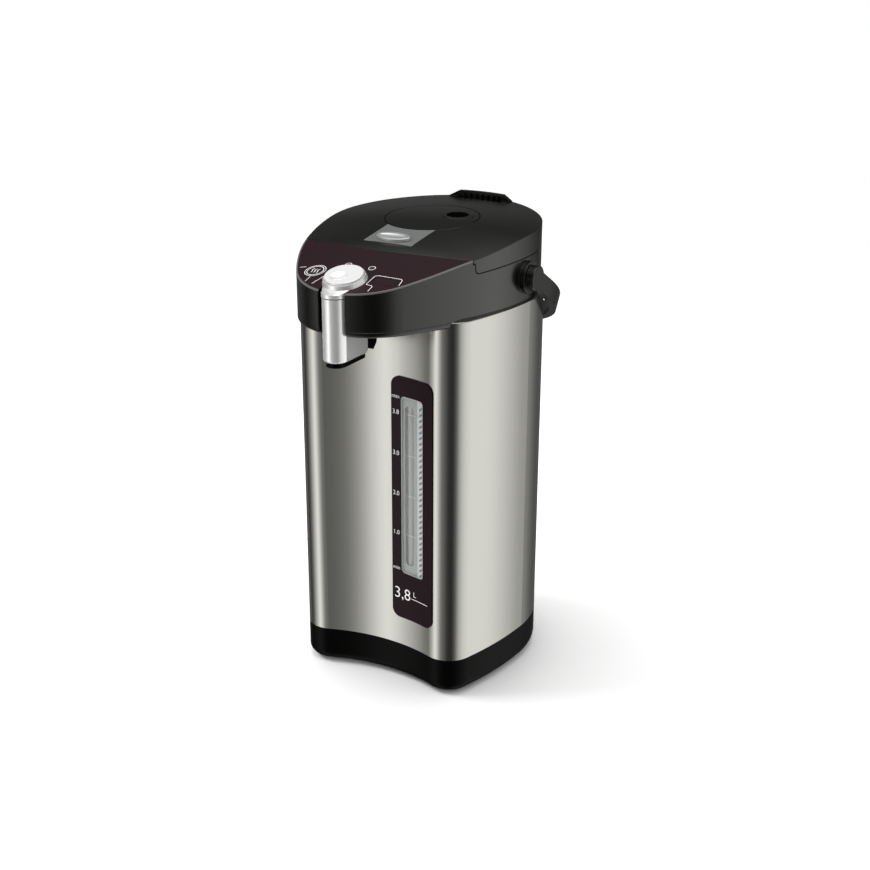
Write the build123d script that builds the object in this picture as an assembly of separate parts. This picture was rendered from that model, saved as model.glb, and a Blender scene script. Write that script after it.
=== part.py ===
from build123d import *
import os
from functools import cache
from math import atan, cos, hypot, radians, sin, sqrt

# Electric thermo pot, in millimetres. +Z is up, -Y is the side with the spout.
# Pieces are drawn about the centre of the body's round back. Each is then moved so that
# the origin lies on the table under the middle of the pot's whole outline.

# ---------------------------------------------------------------- driving dimensions
# Inner pot, its mouth and the seal on it. The housing is set out round the pot.
pot_radius = 80.0
pot_sheet = 0.8
pot_floor = 75.0
pot_corner = 6.0
pot_flange = 3.8
flange_drop = 4.0
mouth_inset = 3.5
mouth_lip = 2.2
seal_width = 10.0
stub_radius = 5.0
wrap_gap = 1.0
wrap_thickness = 1.6

# Body: round back, gently curved sides, two round front corners and a hollow front.
body_room = 14.5
side_radius = 309.5
corner_x = 59.5
corner_y = -75.45
corner_radius = 22.4
front_hollow = 10.8

foot_height = 2.0
foot_radius = 9.0
foot_spots = [(-52.0, 46.0), (52.0, 46.0), (-50.0, -62.0), (50.0, -62.0)]
base_height = 34.1
base_wall = 2.6
base_curve = 9.0
base_lip = 6.0
base_plate_sheet = 2.5
base_plate_inset = 14.0
base_floor = 3.5
base_floor_rim = 6.0
base_screw_spots = [(-77.0, 8.0), (77.0, 8.0), (-14.0, 76.0), (14.0, 76.0), (0.0, -70.0)]
screw_head_radius = 3.0
screw_head_height = 1.4
screw_radius = 1.5
inlet_half = 14.0
inlet_low = 11.5
inlet_high = 30.5
inlet_depth = 24.5
inlet_wall = 1.6
inlet_flange = 1.2
inlet_lip = 3.0
inlet_pin_spread = 7.0
sleeve_height = 300.5
sleeve_sheet = 0.8
sleeve_flange = 5.0

# Head: a smaller round back that runs out into a round nose over the cup.
head_inset = 2.9
head_side_radius = 242.3
nose_y = -99.4
nose_radius = 59.7
head_wall = 2.5
nose_drop = 4.6
nose_curve = 3.4
nose_floor = 2.2
nose_step_y = -79.5
deck_rise = 14.4
deck_thickness = 3.0

# Top surface: (place along Y, height over the body at X = 0, fall at crown_half).
crown_half = 80.0
crown_width = 115.0
top_profile = [
    (-175.0, 25.6, 3.6),
    (-157.5, 30.25, 3.7),
    (-140.0, 34.9, 3.8),
    (-122.5, 39.55, 4.1),
    (-105.0, 44.2, 4.4),
    (-90.0, 48.2, 5.0),
    (-75.0, 51.5, 5.5),
    (-52.0, 55.0, 5.1),
    (-30.0, 58.0, 4.8),
    (-8.0, 60.2, 4.6),
    (14.0, 61.1, 4.5),
    (36.0, 61.2, 4.4),
    (58.0, 60.8, 4.3),
    (80.0, 60.2, 4.2),
    (102.0, 59.4, 4.0),
]
panel_slope = 0.2657

# Lid and its parting lines.
lid_front_y = -88.4
lid_front_radius = 225.0
lid_thickness = 2.6
lid_gap = 0.6
skirt_front_y = -74.0
skirt_rear_y = 16.5
skirt_rise = 36.0
skirt_slant = 2.2
liner_inset = 8.0
liner_front_y = -72.0
liner_rise = 22.7
liner_wall = 2.0

# Spout, knob and panel.
spout_y = -152.7
spout_radius = 10.4
spout_depth = 15.3
spout_skirt_depth = 27.0
spout_low = 308.5
spout_rise = 25.2
spout_wall = 1.2
spout_curve = 2.0
spout_room = 2.0
nozzle_inset = 2.2
nozzle_proud = 4.0
pipe_rise = 15.4
pipe_bore = 3.0
pipe_end_y = -119.0
knob_y = -138.3
knob_radius = 15.8
bezel_radius = 18.1
bezel_stand = 3.4
bezel_slant = 1.3
knob_stand = 5.4
knob_depth = 1.6
knob_stem_radius = 3.0
knob_travel = 2.5
knob_switch_top = -8.3
neck_flange = 0.4
neck_flange_height = 3.0
groove_height = 0.7
film_sheet = 0.6
trim_width = 1.3
trim_height = 1.0
panel_deck = 2.4
ring_key_x = -32.9
ring_key_y = -130.1
ring_key_radius = 9.4
bar_key_x = 32.6
bar_key_y = -131.6
bar_key_width = 20.0
bar_key_depth = 8.8
bar_key_corner = 2.5
key_height = 3.0
key_stem_radius = 2.5
key_travel = 0.8
board_y = -120.0
board_drop = -11.0
board_sheet = 1.6
switch_height = 4.0
switch_radius = 3.0
led_x = 11.0
led_y = -116.0
led_radius = 2.2

# Hand pump in the lid.
pump_y = -1.9
pump_radius = 40.2
pump_travel = 16.0
pump_well = 41.2
vent_x = 18.5
vent_y = 8.5
vent_radius = 10.0
vent_rim_width = 3.6
vent_depth = 9.0
bellows_radius = 27.0

# Latch, lid release and hinge.
latch_y = -65.0
latch_slope = 0.165
latch_half_length = 15.3
latch_half_width = 7.5
latch_low = 0.9
latch_height = 2.2
latch_rim = 2.4
latch_dish = 1.5
latch_plate_proud = 0.5
latch_arm_half = 6.0
latch_arm_front = -18.2
latch_arm_rear = -15.3
latch_nose_front = -23.2
latch_foot = -19.5
latch_spring_start = 8.8
latch_spring_end = 15.5
plate_half = 22.3
plate_front_y = -74.4
plate_rear_y = -34.5
hinge_y = 85.5
hinge_rise = 51.9
hinge_pin_radius = 1.5
knuckle_radius = 4.2
knuckle_inner = 20.0
knuckle_outer = 30.0
release_half = 31.0
release_top_half = 22.0
release_rise = 64.7
release_room = 24.0
release_pan_drop = 3.3
release_sheet = 4.0
release_depth = 16.1

# Carrying handle.
handle_y = -5.3
handle_rise = 20.0
handle_droop = 31.0
handle_gap = 0.4
handle_arm = 27.0
handle_sheet = 6.0
handle_width = 15.0
ear_radius = 13.6
ear_stand = 3.9
eye_radius = 10.4
handle_pin_radius = 3.0

# Water window in the hollow front.
window_x = 32.95
window_width = 44.5
window_low = 61.0
window_high = 281.0
lens_x = 32.3
lens_width = 24.4
lens_low = 104.0
lens_high = 264.5
lens_corner = 3.5
window_corner = 8.0
window_seat = 1.7
window_proud = 1.2

# Pump, pipes and electrics in the foot of the pot.
tube_x = 28.5
tube_y = -83.6
tube_radius = 4.2
hose_wall = 0.8
motor_y = -40.0
motor_radius = 14.0
volute_radius = 20.0
impeller_radius = 15.0
lever_y = -102.5
lever_rise = 3.4
lever_half = 7.0
lever_length = 30.5
lever_pin_radius = 1.5
tube_low = 92.0
tube_high = 290.0
power_board_low = 14.0
power_board_left = -58.0
power_board_width = 96.0
power_board_depth = 48.0
power_board_inset = 29.5

# Clearances.
slide_gap = 0.3
pin_gap = 0.05

# ---------------------------------------------------------------- derived sizes
back_radius = pot_radius + body_room
head_radius = back_radius - head_inset
mouth_radius = pot_radius - mouth_inset
seal_inner = pot_radius - seal_width
ear_reach = head_radius + ear_stand
handle_half = ear_reach + handle_gap + handle_sheet
hose_outer = tube_radius + hose_wall
lever_z = base_height + sleeve_height + lever_rise
spout_top = base_height + sleeve_height + spout_rise
pipe_z = base_height + sleeve_height + pipe_rise
spout_slot_half = spout_radius + spout_room
base_top = base_height
sleeve_top = base_top + sleeve_height
nose_low = sleeve_top - nose_drop
deck_low = sleeve_top + deck_rise
deck_top = deck_low + deck_thickness
liner_low = sleeve_top + liner_rise
skirt_low = sleeve_top + skirt_rise
hinge_z = sleeve_top + hinge_rise
handle_z = sleeve_top + handle_rise
head_top = sleeve_top + 80.0
far = 260.0

# The body's axis stands behind the middle of the outline, from spout to hanging handle.
front_reach = spout_y - spout_radius
back_reach = handle_y + (handle_arm + handle_half) * cos(radians(handle_droop))
back_reach += handle_width / 2 * sin(radians(handle_droop))
axis_y = -(front_reach + back_reach) / 2

os.makedirs("parts", exist_ok=True)


# ---------------------------------------------------------------- general shapes
def write(name, *shapes):
    """Save one node: a single solid, or a group of separate solids."""
    solids = [Pos(0, axis_y, 0) * solid for shape in shapes for solid in shape.solids()]
    node = solids[0] if len(solids) == 1 else Compound(children=solids)
    export_step(node, f"parts/{name}.step")


def block(x0, x1, y0, y1, z0, z1):
    """A box between two corners."""
    middle = ((x0 + x1) / 2, (y0 + y1) / 2, (z0 + z1) / 2)
    return Pos(*middle) * Box(x1 - x0, y1 - y0, z1 - z0)


def disc(radius, low, high, x=0.0, y=0.0):
    """An upright cylinder."""
    return Pos(x, y, (low + high) / 2) * Cylinder(radius, high - low)


def ring(outer, inner, low, high, x=0.0, y=0.0):
    """An upright tube."""
    return disc(outer, low, high, x, y) - disc(inner, low - 1, high + 1, x, y)


def rod_x(radius, x0, x1, y, z):
    """A cylinder that lies along X."""
    return Pos((x0 + x1) / 2, y, z) * Rot(0, 90, 0) * Cylinder(radius, x1 - x0)


def rod_y(radius, y0, y1, x, z):
    """A cylinder that lies along Y."""
    return Pos(x, (y0 + y1) / 2, z) * Rot(90, 0, 0) * Cylinder(radius, y1 - y0)


def prism(face, low, high):
    """A flat outline drawn in XY, raised between two heights."""
    return extrude(Pos(0, 0, low) * face, high - low, dir=(0, 0, 1))


def along_x(face, x0, x1):
    """An outline drawn with its first axis along Y and its second along Z, run along X."""
    frame = Plane(origin=(x0, 0, 0), x_dir=(0, 1, 0), z_dir=(1, 0, 0))
    return extrude(frame * face, x1 - x0, dir=(1, 0, 0))


def both_sides(shape):
    """A piece and its mirror image across X = 0."""
    return [shape, mirror(shape, Plane.YZ)]


def coil(radius, wire, low, high, turns, x=0.0, y=0.0):
    """A compression spring on an upright axis."""
    path = Pos(x, y, low + wire) * Helix((high - low - 2 * wire) / turns, high - low - 2 * wire, radius)
    return sweep(Plane(path @ 0, z_dir=path % 0) * Circle(wire), path=path, is_frenet=True)


def hose(points, bends, outer, inner):
    """A pipe along straight runs with round bends."""
    route = FilletPolyline(*points, radius=bends)
    start = Plane(route @ 0, z_dir=route % 0)
    return sweep(start * Circle(outer), path=route) - sweep(start * Circle(inner), path=route)


# ---------------------------------------------------------------- outlines in plan
def side_arc(radius, front, front_radius, long_radius):
    """The long side arc that touches the back circle and a front circle from outside.

    Returns the two ends and the middle of the arc on the +X side.
    """
    gap = hypot(front[0], front[1])
    to_back = long_radius - radius
    to_front = long_radius - front_radius
    along = (to_back**2 - to_front**2 + gap**2) / (2 * gap)
    across = sqrt(to_back**2 - along**2)
    ux, uy = front[0] / gap, front[1] / gap
    centre = Vector(ux * along + uy * across, uy * along - ux * across)
    rear_end = Vector(0, 0) - centre.normalized() * radius
    front_end = Vector(*front) + (Vector(*front) - centre).normalized() * front_radius
    middle = centre + ((rear_end + front_end) / 2 - centre).normalized() * long_radius
    return rear_end, middle, front_end


def arc(start, middle, end):
    return ThreePointArc(tuple(start)[:2], tuple(middle)[:2], tuple(end)[:2])


def flip(point):
    return Vector(-point.X, point.Y)


def body_outline(inset=0.0):
    """The body's plan, drawn inwards by inset."""
    corner = (corner_x, corner_y)
    radius = corner_radius - inset
    rear, middle, front = side_arc(back_radius - inset, corner, radius, side_radius - inset)
    hollow_y = corner_y - corner_radius + front_hollow
    rise = hollow_y - corner_y
    hollow = (corner_x**2 + rise**2 - corner_radius**2) / (2 * (corner_radius + rise))
    centre = Vector(0, hollow_y - hollow)
    toward = (centre - Vector(*corner)).normalized()
    inner = Vector(*corner) + toward * radius
    tip = Vector(*corner) + ((front + inner) / 2 - Vector(*corner)).normalized() * radius
    return Face(Wire([
        arc(rear, (0, back_radius - inset), flip(rear)),
        arc(flip(rear), flip(middle), flip(front)),
        arc(flip(front), flip(tip), flip(inner)),
        arc(flip(inner), (0, hollow_y + inset), inner),
        arc(inner, tip, front),
        arc(front, middle, rear),
    ]))


def head_outline(inset=0.0):
    """The head's plan, drawn inwards by inset."""
    radius = nose_radius - inset
    rear, middle, front = side_arc(head_radius - inset, (0.0, nose_y), radius, head_side_radius - inset)
    return Face(Wire([
        arc(rear, (0, head_radius - inset), flip(rear)),
        arc(flip(rear), flip(middle), flip(front)),
        arc(flip(front), (0, nose_y - radius), front),
        arc(front, middle, rear),
    ]))


def ahead_of(y):
    """All that lies in front of the lid's curved front edge, moved to the given Y."""
    reach = 120.0
    end_y = y + lid_front_radius - sqrt(lid_front_radius**2 - reach**2)
    return prism(Face(Wire([
        arc((-reach, end_y), (0, y), (reach, end_y)),
        Line((reach, end_y), (reach, -far)),
        Line((reach, -far), (-reach, -far)),
        Line((-reach, -far), (-reach, end_y)),
    ])), 0, head_top)


@cache
def top_solid(drop=0.0):
    """All that lies under the head's crowned top surface, lowered by drop."""
    width = crown_width
    sections = []
    for y, rise, fall in top_profile:
        top = sleeve_top + rise - drop
        edge = top - fall * (width / crown_half) ** 2
        low = sleeve_top - 60
        sections.append(Face(Wire([
            ThreePointArc((-width, y, edge), (0, y, top), (width, y, edge)),
            Line((width, y, edge), (width, y, low)),
            Line((width, y, low), (-width, y, low)),
            Line((-width, y, low), (-width, y, edge)),
        ])))
    return loft(sections)


def top_height(x, y):
    """Height of the top surface, straight between the profile's places."""
    for (y0, z0, f0), (y1, z1, f1) in zip(top_profile, top_profile[1:]):
        if y0 <= y <= y1:
            share = (y - y0) / (y1 - y0)
            fall = f0 + (f1 - f0) * share
            return sleeve_top + z0 + (z1 - z0) * share - fall * (x / crown_half) ** 2
    raise ValueError("y lies outside the top profile")


def panel_spot(x, y):
    """A frame on the control panel at a place in plan, with its Z square to the panel."""
    tilt = atan(panel_slope)
    return Plane(origin=(x, y, top_height(x, y)), x_dir=(1, 0, 0), z_dir=(0, -sin(tilt), cos(tilt)))


def panel_disc(x, y, radius, low, high):
    return panel_spot(x, y) * Pos(0, 0, (low + high) / 2) * Cylinder(radius, high - low)


def side_panel(gap=0.0):
    """The part of the head's side that belongs to the lid, from its parting line up."""
    rear_low = skirt_low + 1.6 - gap
    line = FilletPolyline(
        (skirt_front_y - gap, head_top),
        (skirt_front_y + skirt_slant - gap, skirt_low - 0.6 - gap),
        (skirt_rear_y + gap, rear_low),
        (skirt_rear_y + gap, head_top),
        radius=[4.0, 0.5],
    )
    close = Line((skirt_rear_y + gap, head_top), (skirt_front_y - gap, head_top))
    return along_x(Face(Wire([*line.edges(), close])), -far, far)


def spout_slot(radius, low, high, depth=spout_depth):
    """The spout's long oval section between two heights."""
    oval = Pos(0, spout_y + depth / 2) * Rot(0, 0, 90) * SlotCenterToCenter(depth, 2 * radius)
    return prism(oval, low, high)


def spout_gap(rear_y):
    """The upright slot that leaves the nose open round the spout cover."""
    return block(-spout_slot_half, spout_slot_half, -far, rear_y, 0, head_top)


# ---------------------------------------------------------------- foot of the pot
def make_base():
    """Black base shell with its bottom plate, feet and screws."""
    recess = foot_height + base_plate_sheet
    floor = recess + base_floor
    outer = prism(body_outline(), foot_height, base_top)
    outer = fillet(outer.edges().group_by(Axis.Z)[0], base_curve)
    shell = outer - prism(body_outline(base_wall), floor, base_top + 1)
    shell -= prism(body_outline(base_plate_inset), foot_height - 1, recess)
    shell -= prism(body_outline(base_plate_inset + base_floor_rim), recess - 1, floor + 1)
    lip = prism(body_outline(sleeve_sheet + 0.2), base_top - 3, base_top + base_lip)
    shell += lip - prism(body_outline(base_wall), base_top - 4, base_top + base_lip + 1)
    shell -= block(-inlet_half, inlet_half, back_radius - inlet_depth, far, inlet_low, inlet_high)

    plate = prism(body_outline(base_plate_inset + 0.4), foot_height, recess)
    feet, screws = [], []
    for x, y in foot_spots:
        feet.append(disc(foot_radius, 0, foot_height, x, y) - disc(3.2, -1, 0.8, x, y))
    for x, y in base_screw_spots:
        screw = disc(screw_head_radius, foot_height, foot_height + screw_head_height, x, y)
        screw += disc(screw_radius, foot_height, floor - 1, x, y)
        screws.append(screw)
        plate -= screw
        shell -= screw
    rear = back_radius - power_board_inset
    front = rear - power_board_depth
    left, right = power_board_left, power_board_left + power_board_width
    for x, y in [(left + 10, front + 5), (right - 6, front + 5), (left + 14, rear - 9), (right - 6, rear - 7)]:
        plate += disc(3.0, recess - 0.5, power_board_low, x, y)
    cup = ring(motor_radius + 2.5, motor_radius + slide_gap, recess - 0.5, recess + 6, tube_x, motor_y)
    plate += cup
    write("base_shell", shell)
    write("base_plate", plate)
    write("rubber_feet", *feet)
    write("base_screws", *screws)


def make_inlet():
    """Mains inlet in the back of the base: moulded socket and three pins."""
    half = inlet_half - 0.2
    front = back_radius - inlet_depth
    low, high = inlet_low + 0.4, inlet_high - 0.2
    body = block(-half, half, front, back_radius - 0.5, inlet_low + 0.2, high)
    body += block(-half, half, back_radius - 1.5, back_radius + 0.5, low, high)
    flange = half + 0.2 + inlet_lip
    body += block(-flange, flange, back_radius, back_radius + inlet_flange, low, inlet_high + 2.0)
    room = half - inlet_wall
    body -= block(-room, room, front + 7, far, inlet_low + 1.8, inlet_high - 1.8)
    pins = [
        block(x - 2, x + 2, front + 2, back_radius - 3.5, inlet_low + 5, inlet_low + 7)
        for x in (-inlet_pin_spread, inlet_pin_spread)
    ]
    pins.append(block(-2, 2, front + 2, back_radius - 2.5, inlet_low + 8.5, inlet_low + 10))
    for pin in pins:
        body -= pin
    write("power_inlet", body)
    write("inlet_pins", *pins)


def make_sleeve():
    """Brushed steel sleeve with a turned-in top edge and the window's opening."""
    outer = prism(body_outline(), base_top, sleeve_top)
    outer = fillet(outer.edges().group_by(Axis.Z)[-1], 0.7)
    sleeve = outer - prism(body_outline(sleeve_sheet), base_top - 1, sleeve_top - sleeve_sheet)
    sleeve -= prism(body_outline(sleeve_flange), sleeve_top - 3, sleeve_top + 1)
    notch = hose_outer + 2.5
    wall_front = prism(body_outline(sleeve_sheet), sleeve_top - 3, sleeve_top + 1)
    sleeve -= block(tube_x - notch, tube_x + notch, -100, -70, sleeve_top - 2, sleeve_top + 1) & wall_front
    seat = window_seat
    opening = window_cut(lens_width + 2 * seat, lens_low - seat, lens_high + seat, lens_corner + 1.5)
    write("body_sleeve", sleeve - opening)


def window_cut(width, low, high, radius, x=lens_x):
    """A rounded upright rectangle, cut through the hollow front."""
    face = RectangleRounded(width, high - low, radius)
    front_y = corner_y - corner_radius - 12
    frame = Plane(origin=(x, front_y, (low + high) / 2), x_dir=(1, 0, 0), z_dir=(0, 1, 0))
    return extrude(frame * face, front_hollow + 30)


def front_skin(outer, inner, low, high):
    """A layer that follows the body's hollow front."""
    return prism(body_outline(outer), low, high) - prism(body_outline(inner), low - 1, high + 1)


def make_window():
    """Water window: dark frame, clear lens, striped gauge strip behind it."""
    rim = front_skin(-window_proud, -0.02, window_low - 1, window_high + 1)
    frame = rim & window_cut(window_width, window_low, window_high, window_corner, window_x)
    seat = window_seat - 0.2
    collar = front_skin(-0.5, sleeve_sheet + 0.8, lens_low - 4, lens_high + 4)
    frame += collar & window_cut(lens_width + 2 * seat, lens_low - seat, lens_high + seat, lens_corner + 1.3)
    frame -= window_cut(lens_width, lens_low, lens_high, lens_corner)
    write("window_frame", frame)
    pane = front_skin(-window_proud + 0.5, 0.4, lens_low - 2, lens_high + 2)
    fit = window_cut(lens_width - 2 * pin_gap, lens_low + pin_gap, lens_high - pin_gap, lens_corner - 0.1)
    write("window_lens", pane & fit)
    strip = front_skin(0.6, 1.4, lens_low - 2, lens_high + 2)
    gauge = strip & window_cut(lens_width - 0.2, lens_low + 0.1, lens_high - 0.1, lens_corner - 0.1)
    gauge -= window_cut(2 * tube_radius + 1.1, lens_low + 8, lens_high - 8, tube_radius - 0.2, tube_x)
    write("gauge_strip", gauge)


# ---------------------------------------------------------------- head
def make_collar():
    """Upper housing: head wall, deck around the pot's mouth and hinge ears."""
    wall = prism(head_outline(), sleeve_top, head_top)
    wall -= prism(head_outline(head_wall), sleeve_top - 1, head_top + 1)
    nose = (wall & ahead_of(lid_front_y - lid_gap)) & top_solid(trim_height)
    well = (wall - ahead_of(lid_front_y - lid_gap)) & top_solid(lid_thickness + 0.8)
    collar = nose + (well - side_panel(lid_gap))
    deck = prism(head_outline(head_wall - 0.5), deck_low, deck_top) - ahead_of(lid_front_y - 3.0)
    collar += deck - disc(mouth_radius + mouth_lip + 0.3, deck_low - 1, deck_top + 1)
    collar -= spout_gap(spout_y + 8)
    rear_low = hinge_z - 7.5
    collar -= block(-34, 34, hinge_y - 10, far, rear_low, head_top)
    axis = rod_x(hinge_pin_radius, -far, far, hinge_y, hinge_z)
    for side in (-1, 1):
        x0, x1 = sorted((side * knuckle_inner, side * knuckle_outer))
        ear = rod_x(knuckle_radius, x0, x1, hinge_y, hinge_z)
        ear += block(x0, x1, hinge_y - 3.5, hinge_y + 1.0, rear_low - 5, hinge_z)
        ear += block(x0, x1, hinge_y - 3.5, hinge_y + 2.5, rear_low - 9, rear_low) & prism(
            head_outline(0.5), 0, head_top
        )
        collar += ear
        seam = block(0, far, skirt_rear_y - 0.3, skirt_rear_y + 0.3, handle_z + 7, skirt_low + 4)
        seam += block(0, far, -0.3, 0.3, sleeve_top + 3, handle_z - 7)
        groove = seam - prism(head_outline(0.5), 0, head_top)
        collar -= groove if side > 0 else mirror(groove, Plane.YZ)
    collar -= axis
    collar -= rod_x(handle_pin_radius, -far, far, handle_y, handle_z)
    write("collar", collar)


def make_nose_cover():
    """Cover that closes the nose from below, with the cup lever's ears."""
    floor = nose_low + nose_floor
    outer = prism(head_outline(), nose_low, sleeve_top)
    outer = fillet(outer.edges().group_by(Axis.Z)[0], nose_curve)
    outer &= block(-far, far, -far, nose_step_y, 0, head_top)
    outer -= prism(body_outline(-slide_gap), 0, head_top)
    cover = outer - prism(head_outline(head_wall), floor, head_top)
    cover -= spout_slot(spout_radius + 0.5, 0, head_top, spout_skirt_depth)
    cover -= spout_gap(spout_y)
    slot = lever_half + 0.8
    cover -= block(-slot, slot, lever_y - 9, lever_y + 6, 0, head_top)
    for side in (-1, 1):
        x0, x1 = sorted((side * slot, side * (slot + 2.5)))
        cover += block(x0, x1, lever_y - 3, lever_y + 3, floor - 0.2, lever_z + 3)
    cover -= rod_x(lever_pin_radius, -far, far, lever_y, lever_z)
    write("nose_cover", cover)
    switch = block(-10, 10, lever_y + 9, lever_y + 13.5, floor, lever_z + 2)
    switch += block(-2, 2, lever_y + 7.6, lever_y + 9, lever_z - 1, lever_z + 1)
    write("cup_switch", switch)


def make_cup_lever():
    """Lever behind the spout that the rim of a cup pushes back."""
    y, z, foot = lever_y, lever_z, lever_z - lever_length
    side = Face(Wire(Polyline(
        (y - 3.0, z + 3.5), (y + 3.0, z + 3.5), (y + 2.6, z - 5), (y - 1.8, foot + 4.5),
        (y - 6.6, foot), (y - 7.2, foot + 1.6), (y - 3.8, z - 6), close=True,
    ).edges()))
    pin_half = lever_half + 3
    pin = rod_x(lever_pin_radius - pin_gap, -pin_half, pin_half, y, z)
    write("cup_lever", along_x(side, -lever_half, lever_half) + pin)


# ---------------------------------------------------------------- control panel and spout
def make_panel():
    """Deck, film, bright trim and lamps of the sloping control panel."""
    edge = lid_front_y - lid_gap
    area = prism(head_outline(head_wall + 0.1), 0, head_top)
    deck = ((top_solid(film_sheet) - top_solid(film_sheet + panel_deck)) & area) & ahead_of(edge)
    wall = (top_solid(film_sheet) & area) & (ahead_of(edge) - ahead_of(edge - 2.6))
    deck += wall & block(-far, far, -far, far, deck_top, head_top)
    pocket = latch_arm_half + 3
    deck -= block(-pocket, pocket, edge - 1.4, edge + 1, skirt_low - 6, skirt_low + 2)
    area = prism(head_outline(trim_width), 0, head_top)
    film = ((top_solid() - top_solid(film_sheet)) & area) & ahead_of(edge)
    for x, y, radius in [
        (0, knob_y, bezel_radius + 0.15),
        (ring_key_x, ring_key_y, ring_key_radius + slide_gap),
        (-led_x, led_y, led_radius),
        (led_x, led_y, led_radius),
    ]:
        hole = panel_disc(x, y, radius, -14, 8)
        deck -= hole
        film -= hole
    bar = bar_key(slide_gap, -14, 8)
    front = spout_gap(spout_y + 8)
    deck = deck - bar - front
    deck -= spout_neck(slide_gap)
    for x, y in [(-46, -112), (46, -112), (-24, -102), (24, -102)]:
        deck += panel_disc(x, y, key_stem_radius, key_base(x, y), -panel_deck)
    write("control_deck", deck)
    write("panel_film", film - bar - front)
    rim = prism(head_outline(), 0, head_top) - prism(head_outline(trim_width), -1, head_top + 1)
    trim = ((top_solid() - top_solid(trim_height)) & rim) & ahead_of(edge)
    write("panel_trim", trim - front)
    lamps = []
    for x in (-led_x, led_x):
        cap = panel_disc(x, led_y, led_radius - 0.1, -3, 1) & top_solid()
        lamps.append(cap + panel_disc(x, led_y, 1.5, key_base(x, led_y), -2.5))
    write("led_lenses", *lamps)


def bar_key(grow, low, high):
    """The oblong key's shape, square to the panel."""
    corner = bar_key_corner + grow
    face = RectangleRounded(bar_key_width + 2 * grow, bar_key_depth + 2 * grow, corner)
    return panel_spot(bar_key_x, bar_key_y) * Pos(0, 0, low) * extrude(face, high - low)


def make_board():
    """Control board under the panel with its push switches."""
    middle = board_drop - board_sheet / 2
    board = panel_spot(0, board_y) * Pos(0, 0, middle) * Box(2 * crown_half, 100, board_sheet)
    board &= prism(head_outline(2 * head_wall), 0, head_top)
    board &= ahead_of(lid_front_y - 5.5)
    board -= block(-20, 20, -far, board_y + 1, 0, head_top)
    switches = []
    for x, y in [(ring_key_x, ring_key_y), (bar_key_x, bar_key_y)]:
        base = key_base(x, y)
        switches.append(panel_disc(x, y, switch_radius, base, base + switch_height))
    switches.append(panel_disc(0, knob_y, switch_radius + 0.1, knob_switch_top - 2.5, knob_switch_top))
    write("control_board", board)
    write("push_switches", *switches)


def key_base(x, y):
    """Height of the board's face at a key, in that key's own frame."""
    tilt = atan(panel_slope)
    rise = top_height(x, y) - top_height(0, board_y) - (y - board_y) * panel_slope
    return board_drop - rise * cos(tilt)


def make_keys():
    """Round key and oblong key, flush with the film."""
    round_shape = panel_disc(ring_key_x, ring_key_y, ring_key_radius, -key_height, key_height)
    for name, x, y, shape in [
        ("ring_key", ring_key_x, ring_key_y, round_shape),
        ("bar_key", bar_key_x, bar_key_y, bar_key(0, -key_height, key_height)),
    ]:
        stem_low = key_base(x, y) + switch_height + key_travel + slide_gap
        stem = panel_disc(x, y, key_stem_radius, stem_low, 1 - key_height)
        write(name, (shape & top_solid()) + stem)


def make_spout():
    """Chrome spout cover, its black nozzle and the chrome head that carries the knob."""
    top = spout_top
    tall = spout_slot(spout_radius, spout_low, top)
    skirt = spout_slot(spout_radius, spout_low, nose_low + nose_floor, spout_skirt_depth)
    cover = fillet((tall + skirt).edges().group_by(Axis.Z)[0], spout_curve)
    inner = spout_radius - spout_wall
    ledge = spout_low + spout_curve
    cover -= spout_slot(inner, ledge, top + 1)
    cover -= spout_slot(inner, ledge, nose_low + nose_floor - spout_wall, spout_skirt_depth)
    mouth = spout_radius - nozzle_inset
    cover -= spout_slot(mouth + 0.1, spout_low - 1, ledge + 1, spout_skirt_depth)
    pipe_y = spout_y + 2.5
    cover -= rod_y(tube_radius + slide_gap, spout_y + spout_depth, pipe_end_y, 0, pipe_z)
    write("spout_cover", cover)

    nozzle = spout_slot(mouth, spout_low - nozzle_proud, spout_low + 4, spout_skirt_depth)
    nozzle += disc(6.0, spout_low, pipe_z + 5, 0, pipe_y)
    nozzle += rod_y(tube_radius, pipe_y, pipe_end_y, 0, pipe_z)
    nozzle -= disc(4.0, 0, pipe_z, 0, pipe_y)
    nozzle -= rod_y(pipe_bore, pipe_y, pipe_end_y + 1, 0, pipe_z)
    nozzle -= Pos(0, pipe_y, pipe_z) * Sphere(4.0)
    write("spout_nozzle", nozzle)
    groove = spout_slot(spout_radius - 0.6, top, top + groove_height)
    write("neck_ring", groove - spout_slot(spout_radius - 3, top - 1, top + 2))

    wide = panel_spot(0, knob_y) * Circle(bezel_radius)
    narrow = panel_spot(0, knob_y) * Pos(0, 0, bezel_stand) * Circle(bezel_radius - bezel_slant)
    seat = knob_switch_top - 2.5
    head = spout_neck() + panel_disc(0, knob_y, bezel_radius, -1.6, 0) + loft([wide, narrow])
    head += panel_disc(0, knob_y, knob_stem_radius + 1.9, seat - 1, -knob_depth)
    head -= panel_disc(0, knob_y, knob_radius + slide_gap, -knob_depth - knob_travel - 0.4, 12)
    head -= panel_disc(0, knob_y, knob_stem_radius + slide_gap, seat, 0)
    write("spout_head", head)

    cap = panel_disc(0, knob_y, knob_radius, -knob_depth, knob_stand)
    cap = chamfer(cap.edges().sort_by(Axis.Z)[-1:], 0.6)
    dimple = panel_spot(0, knob_y) * Pos(-2.2, -3.8, knob_stand + 13.2) * Sphere(15.0)
    stem_low = knob_switch_top + knob_travel + slide_gap
    cap = cap - dimple + panel_disc(0, knob_y, knob_stem_radius, stem_low, 1 - knob_depth)
    write("pour_knob", cap)


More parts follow.
